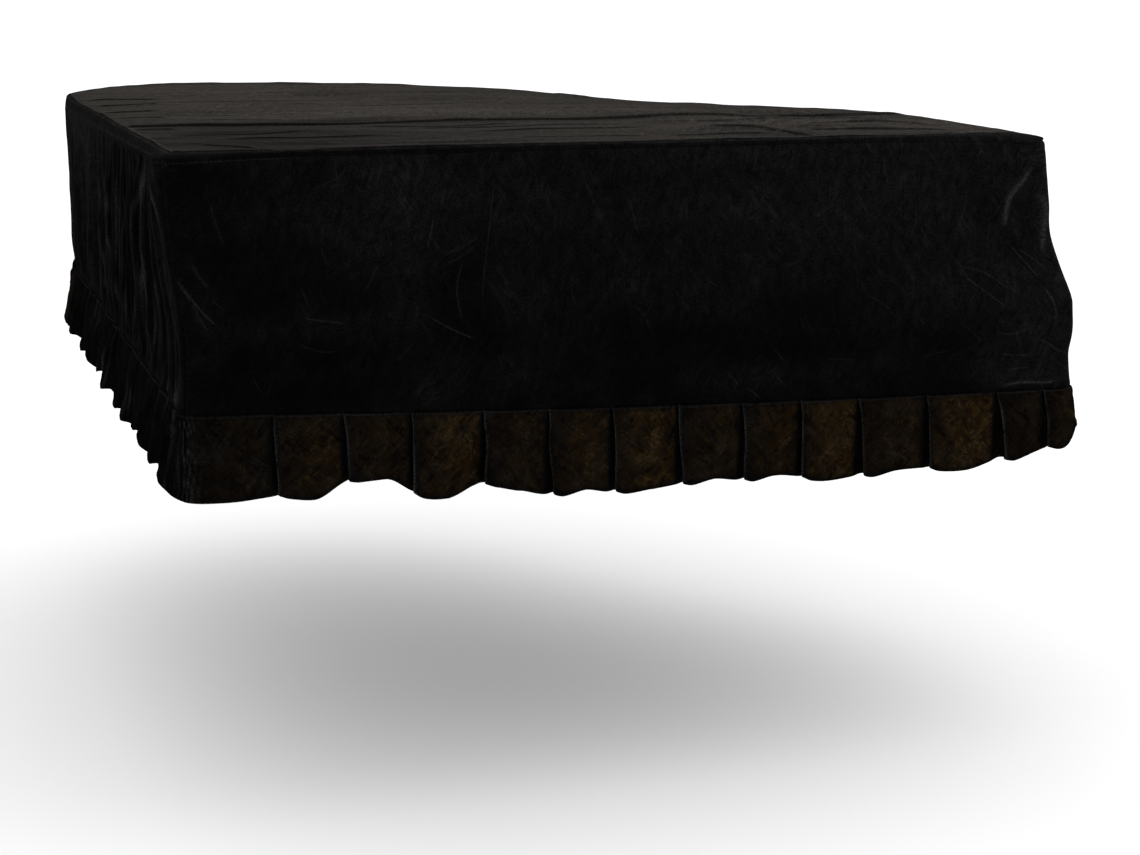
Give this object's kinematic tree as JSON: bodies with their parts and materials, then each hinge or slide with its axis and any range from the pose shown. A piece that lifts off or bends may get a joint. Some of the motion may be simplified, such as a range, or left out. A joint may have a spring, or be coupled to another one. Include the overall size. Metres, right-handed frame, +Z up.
{
  "type": "grand piano cover",
  "caption": "Fitted velvet dust cover for a small grand piano: a flat top in the lid's outline, sides that hang to below the keybed, and a knife-pleated ruffle round the hem.",
  "frame": {"origin": "middle of the piano's lid (half its greatest width, half its length), on the underside of the cover's top, where it rests on the lid", "axes": "+X towards the piano's treble side, +Y from the keyboard end towards the tail, +Z up; the cover hangs below z = 0"},
  "size_m": [1.5285, 1.7375, 0.537],
  "materials": {
    "body_velvet": "black velvet pile, paler along the pile",
    "ruffle_velvet": "black velvet pile, pressed into knife pleats"
  },
  "bodies": {
    "root": {"top_panel": "body_velvet", "front_panel": "body_velvet", "back_panel": "body_velvet", "spine_panel": "body_velvet", "front_ruffle": "ruffle_velvet", "back_ruffle": "ruffle_velvet", "spine_ruffle": "ruffle_velvet"}
  },
  "joints": []
}
